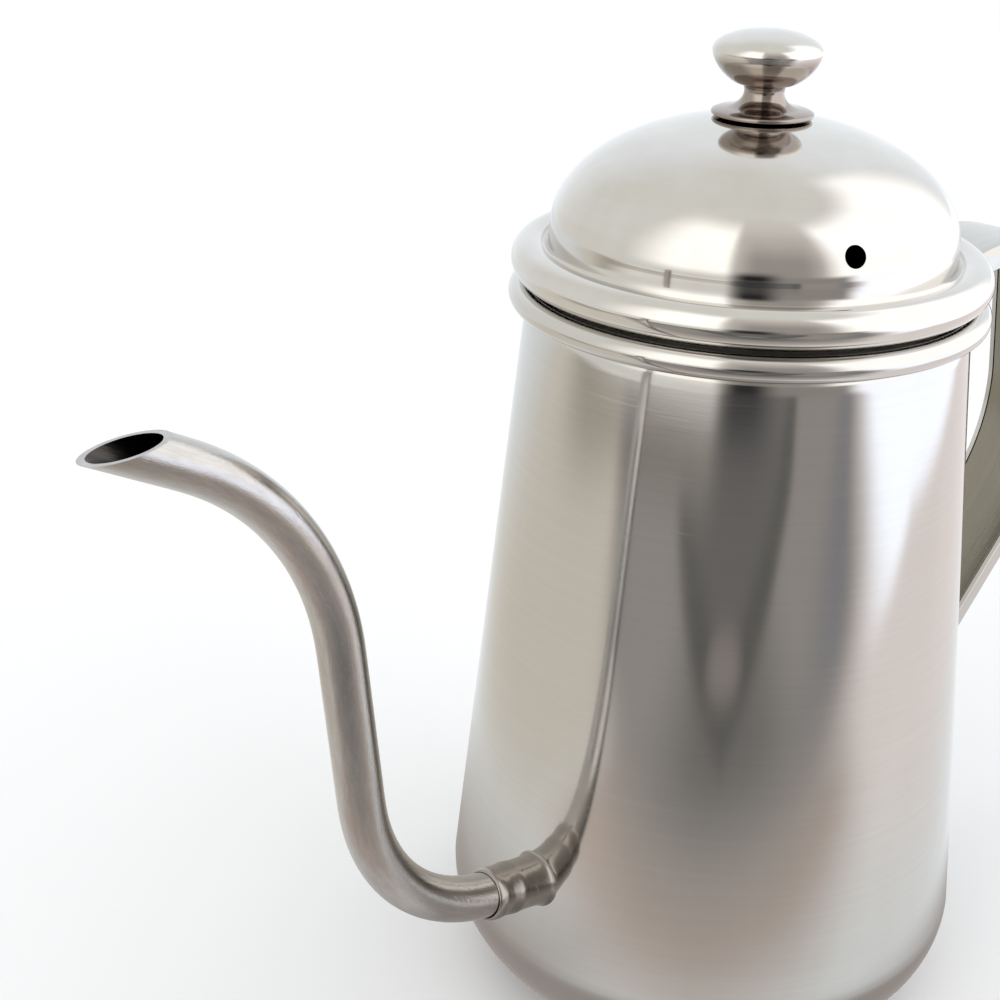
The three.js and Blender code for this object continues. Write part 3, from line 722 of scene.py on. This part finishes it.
class Field:
    """A number that varies over a node tree's surface, with ordinary arithmetic."""

    def __init__(self, tree, socket):
        self.tree, self.socket = tree, socket

    def node(self, operation, other=None):
        node = self.tree.nodes.new("ShaderNodeMath")
        node.operation = operation
        self.tree.links.new(self.socket, node.inputs[0])
        if isinstance(other, Field):
            self.tree.links.new(other.socket, node.inputs[1])
        elif other is not None:
            node.inputs[1].default_value = other
        return Field(self.tree, node.outputs[0])

    def __add__(self, other):
        return self.node("ADD", other)

    def __sub__(self, other):
        return self.node("SUBTRACT", other)

    def __mul__(self, other):
        return self.node("MULTIPLY", other)

    def __abs__(self):
        return self.node("ABSOLUTE")

    def step(self, low, high):
        """Rises smoothly from 0 at low to 1 at high, or falls where low is the larger."""
        node = self.tree.nodes.new("ShaderNodeMapRange")
        node.interpolation_type = "SMOOTHSTEP"
        node.inputs[1].default_value, node.inputs[2].default_value = min(low, high), max(low, high)
        node.inputs[3].default_value, node.inputs[4].default_value = (0, 1) if low < high else (1, 0)
        self.tree.links.new(self.socket, node.inputs[0])
        return Field(self.tree, node.outputs[0])

    def between(self, low, high, soft_low, soft_high):
        """1 from low to high and 0 outside, with an edge of its own softness at each."""
        return self.step(low - soft_low, low + soft_low) * self.step(high + soft_high, high - soft_high)


def paint(tree, base, layers):
    """Lays colours over a base colour. Each layer is (colour, coverage)."""
    below = base
    for color, cover in layers:
        mix = tree.nodes.new("ShaderNodeMix")
        mix.data_type = "RGBA"
        tree.links.new(cover.socket, mix.inputs[0])
        if isinstance(below, tuple):
            mix.inputs[6].default_value = (*below, 1)
        else:
            tree.links.new(below, mix.inputs[6])
        mix.inputs[7].default_value = (*color, 1)
        below = mix.outputs[2]
    return below


def turned_to_camera(tree, socket):
    """x towards the camera, y to its right, z up."""
    turn = tree.nodes.new("ShaderNodeVectorRotate")
    turn.rotation_type = "Z_AXIS"
    turn.inputs["Angle"].default_value = -CAMERA_TURN
    tree.links.new(socket, turn.inputs["Vector"])
    split = tree.nodes.new("ShaderNodeSeparateXYZ")
    tree.links.new(turn.outputs[0], split.inputs[0])
    return [Field(tree, output) for output in split.outputs]


def flat_mesh(name, corners):
    """One flat face of the studio."""
    mesh = bpy.data.meshes.new(name)
    mesh.from_pydata(corners, [], [tuple(range(len(corners)))])
    piece = bpy.data.objects.new(name, mesh)
    bpy.context.scene.collection.objects.link(piece)
    return piece


def add_floor():
    half = FLOOR_HALF
    floor = flat_mesh("floor", [(-half, -half, 0), (half, -half, 0), (half, half, 0), (-half, half, 0)])
    m = Nodes("floor_white")
    m.shader.inputs["Base Color"].default_value = (*FLOOR_WHITE, 1)
    m.shader.inputs["Roughness"].default_value = 0.9
    m.shader.inputs["Specular IOR Level"].default_value = 0.2
    floor.data.materials.append(m.material)
    floor.visible_glossy = False


def add_table_glow():
    """The table as the steel mirrors it: pale, with the room's dark and bright shapes lying on it.

    Lengths are in metres from the kettle's axis, ahead towards the camera and right of it.
    """
    turns = [2 * math.pi * k / TABLE_SIDES for k in range(TABLE_SIDES)]
    edge = [(TABLE_REACH * math.cos(t), TABLE_REACH * math.sin(t), 0) for t in turns]
    disc = flat_mesh("table_glow", edge)
    disc.visible_camera = disc.visible_diffuse = disc.visible_shadow = disc.visible_transmission = False
    m = Nodes("table_glow")
    tree = m.tree
    coords = m.add("ShaderNodeTexCoord")
    ahead, right, _ = turned_to_camera(tree, coords.outputs["Object"])
    far = (ahead * ahead + right * right).node("SQRT")
    round_ = right.node("ARCTAN2", ahead) * (180 / math.pi)
    half = ((ahead - 0.2) * 0.85).node("MINIMUM", ahead * 0.5)
    wedge = abs(right - 0.02) - half
    lit = (right - 0.2) - (ahead - 0.1) * 1.33
    paper = ahead.node("MAXIMUM", -0.02) * 1.25 + right
    glow = (ahead - 0.285) * (ahead - 0.285) + (right - 0.02) * (right - 0.02)
    slant = right.node("MAXIMUM", 0.0) * 0.06 - right.node("MINIMUM", 0.0) * 0.25
    front = (ahead - slant).step(0.05, 0.17) * (right * 0.6 + ahead).step(0.02, 0.1)
    color = paint(tree, (0.92, 0.97, 1.0), [
        # the warm left side, its dimmer outer part, and the pale right side with its window light
        ((0.81, 0.77, 0.695), right.step(-0.04, -0.18) * ahead.step(-0.35, -0.05)),
        ((0.47, 0.445, 0.38), right.step(-0.33, -0.55) * ahead.step(-0.1, 0.15)),
        ((1.04, 0.97, 0.96), right.step(0.04, 0.2)),
        ((1.6, 1.7, 1.9), paper.step(0.33, 0.4) * right.step(0.17, 0.2) * lit.step(-0.04, 0.26)),
        # the shade in front of the kettle, and a darker wedge that opens towards the camera, with a pale spot
        ((0.66, 0.57, 0.52), ahead.step(0.04, 0.11) * right.step(0.2, 0.12) * right.step(-0.14, -0.1)),
        ((0.40, 0.38, 0.365), front * lit.step(0.22, -0.08)),
        ((0.31, 0.31, 0.335), lit.between(-0.16, -0.02, 0.08, 0.05) * ahead.step(0.12, 0.2)),
        ((0.23, 0.225, 0.22), ahead.step(0.13, 0.21) * abs(right - 0.03).step(0.15, 0.02)),
        ((0.155, 0.153, 0.15), wedge.step(0.02, -0.02)),
        ((0.205, 0.20, 0.20), wedge.step(-0.04, -0.1)),
        ((0.34, 0.31, 0.30), glow.step(0.0022, 0.0002)),
        # the far rim, which the dome and the flange mirror
        ((0.31, 0.29, 0.27), far.step(0.42, 0.56) * round_.between(-54, -8, 6, 6)),
        ((1.15, 1.12, 1.08), far.step(0.63, 0.86) * round_.between(-75, -9, 14, 4)),
        ((0.05, 0.05, 0.055), far.step(0.58, 0.76) * round_.between(-6, 14, 6, 8)),
        # contact shade round the base
        ((0.55, 0.52, 0.49), far.step(0.12, 0.06) * right.step(-0.02, -0.06)),
        ((0.42, 0.385, 0.37), far.step(0.08, 0.055)),
    ])
    light = m.add("ShaderNodeEmission", Strength=1.0)
    tree.links.new(color, light.inputs["Color"])
    tree.links.new(light.outputs[0], tree.nodes["Material Output"].inputs["Surface"])
    disc.data.materials.append(m.material)


def add_world():
    """A white room with two broad soft boxes and a darker side behind the camera.

    round_ is the bearing from the camera's side, rising to its right, and high the elevation, in degrees.
    """
    world = bpy.data.worlds.new("studio")
    bpy.context.scene.world = world
    world.use_nodes = True
    tree = world.node_tree
    coords = tree.nodes.new("ShaderNodeTexCoord")
    ahead, right, up = turned_to_camera(tree, coords.outputs["Generated"])
    round_ = right.node("ARCTAN2", ahead) * (180 / math.pi)
    high = up.node("ARCSINE") * (180 / math.pi)
    color = paint(tree, (0.92, 0.92, 0.89), [
        # the wall behind the kettle, the left soft box, and the dark room behind the camera
        ((1.05, 1.1, 1.15), abs(round_).step(120, 160) * high.step(70, 40)),
        ((1.75, 1.72, 1.66), round_.between(-56, -10, 20, 4) * high.step(74, 50) * high.step(-8, 7)),
        ((0.74, 0.70, 0.665), round_.between(-8, 46, 4, 12) * high.step(78, 48)),
        ((0.43, 0.405, 0.385), round_.between(-2, 38, 7, 10) * high.step(60, 18)),
        # the right soft box, then the floor's horizon under it, under the room and under its darkest spot
        ((1.7, 1.7, 1.7), round_.between(47, 147, 8, 8) * high.step(68, 52)),
        ((1.6, 1.65, 1.85), round_.between(57, 160, 10, 6) * high.step(2, -4)),
        ((0.36, 0.34, 0.32), round_.between(-8, 57, 6, 6) * high.step(2, -4)),
        ((0.02, 0.02, 0.022), round_.between(-6, 14, 6, 8) * high.between(-11, 3, 7, 6)),
    ])
    background = tree.nodes["Background"]
    tree.links.new(color, background.inputs["Color"])
    plain = tree.nodes.new("ShaderNodeBackground")
    plain.inputs["Color"].default_value = (*BACKGROUND_WHITE, 1)
    ray = tree.nodes.new("ShaderNodeLightPath")
    mix = tree.nodes.new("ShaderNodeMixShader")
    tree.links.new(ray.outputs["Is Camera Ray"], mix.inputs[0])
    tree.links.new(background.outputs[0], mix.inputs[1])
    tree.links.new(plain.outputs[0], mix.inputs[2])
    tree.links.new(mix.outputs[0], tree.nodes["World Output"].inputs["Surface"])


def add_light():
    """A broad lamp up on the left that lights the floor, and gives the kettle its soft shadow."""
    data = bpy.data.lights.new("left_lamp", "AREA")
    data.shape, data.size, data.energy = "DISK", LAMP_WIDTH, LAMP_WATTS
    lamp = bpy.data.objects.new("left_lamp", data)
    bpy.context.scene.collection.objects.link(lamp)
    level = math.cos(LAMP_RISE)
    towards = Vector((math.cos(LAMP_TURN) * level, math.sin(LAMP_TURN) * level, math.sin(LAMP_RISE)))
    lamp.location = towards * LAMP_AWAY
    lamp.rotation_euler = towards.to_track_quat("Z", "Y").to_euler()
    lamp.visible_glossy = lamp.visible_camera = False


def add_camera():
    """The photo's camera, as fitted to the outlines of the lid, rim, base and spout."""
    data = bpy.data.cameras.new("camera")
    data.lens, data.sensor_width, data.clip_start = CAMERA_LENS, SENSOR_WIDTH, 0.01
    camera = bpy.data.objects.new("camera", data)
    bpy.context.scene.collection.objects.link(camera)
    turn = Matrix((Vector(CAMERA_RIGHT), Vector(CAMERA_UP), -Vector(CAMERA_FORWARD))).transposed().to_4x4()
    camera.matrix_world = Matrix.Translation(CAMERA_AT) @ turn
    bpy.context.scene.camera = camera


add_floor()
add_table_glow()
add_world()
add_light()
add_camera()
bpy.context.scene.view_settings.view_transform = "Standard"
